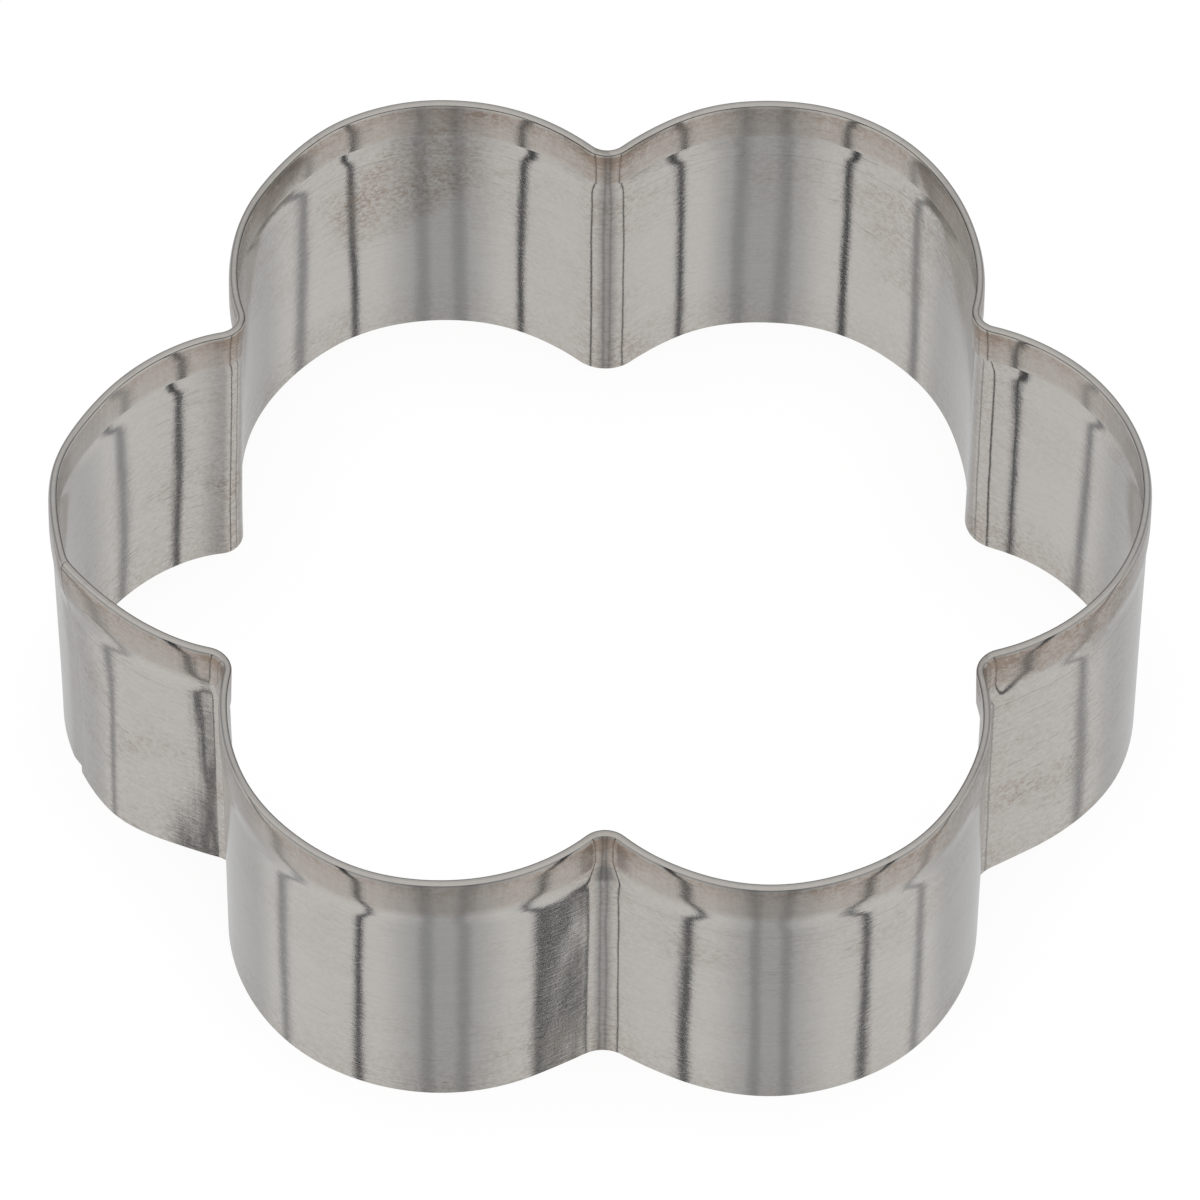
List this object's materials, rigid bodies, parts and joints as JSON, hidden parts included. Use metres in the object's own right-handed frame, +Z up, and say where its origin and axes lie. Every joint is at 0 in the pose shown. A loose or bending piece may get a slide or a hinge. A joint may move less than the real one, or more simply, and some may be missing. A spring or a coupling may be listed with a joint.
{
  "type": "flower cookie cutter",
  "caption": "Flower-shaped cookie cutter bent from one strip of tinned sheet steel, open through, with a folded safe edge on top and a raw cutting edge below.",
  "frame": {"origin": "middle of the cutter's bounding box, on the plane of the cutting edge", "axes": "+Z up, from the cutting edge to the folded safe edge; +X along the widest extent, across two opposite petals, with the lapped seam on the petal at -X"},
  "size_m": [0.0794, 0.0724, 0.0254],
  "materials": {
    "tinplate": "satin tin, slightly tarnished",
    "weld_steel": "dull spot weld"
  },
  "bodies": {
    "root": {"cutter_band": "tinplate", "spot_welds": "weld_steel"}
  },
  "joints": []
}
